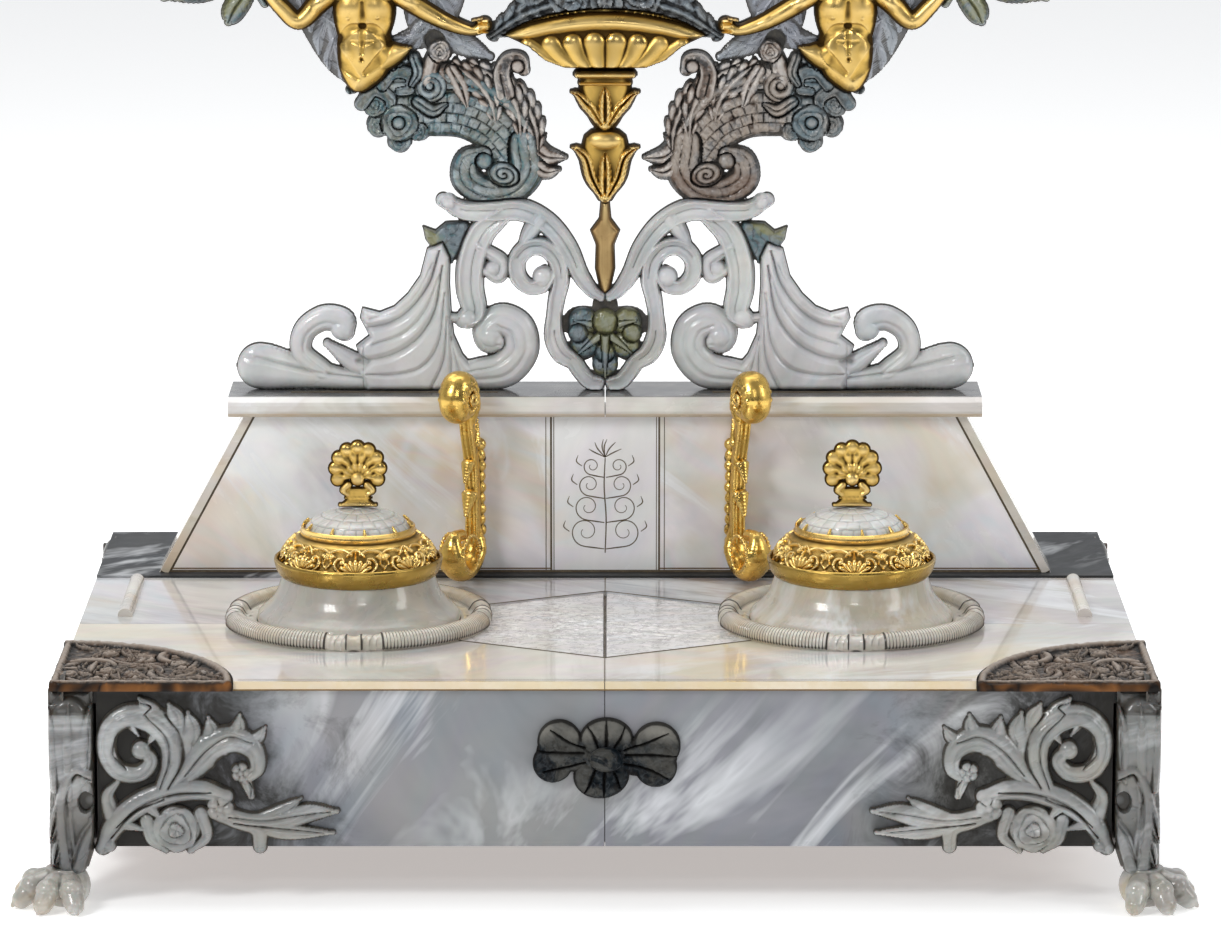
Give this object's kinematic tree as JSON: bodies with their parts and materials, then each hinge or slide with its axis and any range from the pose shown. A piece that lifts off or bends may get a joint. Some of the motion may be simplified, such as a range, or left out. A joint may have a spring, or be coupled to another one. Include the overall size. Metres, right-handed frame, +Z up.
{
  "type": "inkstand",
  "caption": "Rectangular desk inkstand on paw feet with a drawer, two round lidded inkwells, a sloped-end riser with pen brackets and a pierced scroll crest with winged figures.",
  "frame": {"origin": "on the table under the middle of the paw feet", "axes": "+X to the right as seen from the drawer's front, +Y from the drawer's front to the back, +Z up"},
  "size_m": [0.2806, 0.1896, 0.2297],
  "materials": {
    "core_wood": "dark hardwood, waxed",
    "plate_nacre": "polished mother-of-pearl plate, grey-blue",
    "bright_nacre": "polished mother-of-pearl plate, bright silver-white",
    "cream_shell": "polished cream shell",
    "deck_nacre": "polished mother-of-pearl plate, warm white",
    "rear_nacre": "polished mother-of-pearl plate, darker grey",
    "brown_shell": "carved brown-lip shell",
    "carved_pearl": "carved mother-of-pearl, dark in the hollows",
    "ring_pearl": "carved mother-of-pearl ring",
    "backing_metal": "thin metal sheet, darkened",
    "teal_shell": "dark green abalone shell",
    "bronze": "bronze, brown, not gilt",
    "gilt": "cast and chased gilt metal",
    "wing_pearl": "carved grey mother-of-pearl feathers",
    "abalone_green": "carved blue-green abalone",
    "abalone_grey": "carved brown-grey abalone with a blue-green collar",
    "abalone_dark": "blue-black abalone, polished",
    "bell_pearl": "turned and carved mother-of-pearl",
    "bezel_gilt": "turned gilt metal",
    "liner_glass": "clear glass",
    "lid_gilt": "embossed gilt metal",
    "dome_pearl": "scale-carved mother-of-pearl",
    "finial_gilt": "cast gilt metal"
  },
  "bodies": {
    "base": {"carcass_bottom": "core_wood", "carcass_sides": "core_wood", "carcass_back": "core_wood", "deck_board": "core_wood", "side_plates": "plate_nacre", "back_plate": "plate_nacre", "leg_front_left": "carved_pearl", "leg_front_right": "carved_pearl", "leg_rear_left": "carved_pearl", "leg_rear_right": "carved_pearl", "paw_feet": "carved_pearl", "side_sprays": "carved_pearl", "deck_front_plates": "deck_nacre", "deck_middle_plates": "deck_nacre", "deck_rear_plate": "rear_nacre", "deck_lozenge": "deck_nacre", "corner_plaques": "brown_shell", "pen_rails": "cream_shell", "saucer_rings": "ring_pearl", "riser_core": "core_wood", "riser_wing_plates": "bright_nacre", "riser_center_plate": "bright_nacre", "riser_end_plates": "cream_shell", "riser_back_plate": "plate_nacre", "cornice": "cream_shell", "crest_backing": "backing_metal", "crest_left": "carved_pearl", "crest_right": "carved_pearl", "crest_blocks": "teal_shell", "vine_leaf": "teal_shell", "spear": "bronze", "bellflowers": "gilt", "tazza": "gilt", "bouquet": "teal_shell", "torso_left": "gilt", "torso_right": "gilt", "wings": "wing_pearl", "tail_left": "abalone_green", "tail_right": "abalone_grey", "laurel_branches": "teal_shell", "pen_bracket_left": "gilt", "pen_bracket_right": "gilt"},
    "drawer": {"drawer_bottom": "core_wood", "drawer_walls": "core_wood", "drawer_front_board": "core_wood", "drawer_plates": "plate_nacre", "drawer_pull": "abalone_dark", "drawer_sprays": "carved_pearl"},
    "well_left": {"bell_left": "bell_pearl", "bezel_left": "bezel_gilt"},
    "cup_left": {"liner_left": "liner_glass"},
    "lid_left": {"lid_ring_left": "lid_gilt", "lid_dome_left": "dome_pearl", "finial_left": "finial_gilt"},
    "well_right": {"bell_right": "bell_pearl", "bezel_right": "bezel_gilt"},
    "cup_right": {"liner_right": "liner_glass"},
    "lid_right": {"lid_ring_right": "lid_gilt", "lid_dome_right": "dome_pearl", "finial_right": "finial_gilt"}
  },
  "joints": [
    {"name": "drawer_slide", "type": "slide", "parent": "base", "child": "drawer", "axis": [0, -1, 0], "range_m": [0, 0.105]},
    {"name": "well_lift_left", "type": "slide", "parent": "base", "child": "well_left", "axis": [0, 0, 1], "range_m": [0, 0.02]},
    {"name": "liner_lift_left", "type": "slide", "parent": "well_left", "child": "cup_left", "axis": [0, 0, 1], "range_m": [0, 0.02]},
    {"name": "lid_lift_left", "type": "slide", "parent": "cup_left", "child": "lid_left", "axis": [0, 0, 1], "range_m": [0, 0.045]},
    {"name": "well_lift_right", "type": "slide", "parent": "base", "child": "well_right", "axis": [0, 0, 1], "range_m": [0, 0.02]},
    {"name": "liner_lift_right", "type": "slide", "parent": "well_right", "child": "cup_right", "axis": [0, 0, 1], "range_m": [0, 0.02]},
    {"name": "lid_lift_right", "type": "slide", "parent": "cup_right", "child": "lid_right", "axis": [0, 0, 1], "range_m": [0, 0.045]}
  ]
}
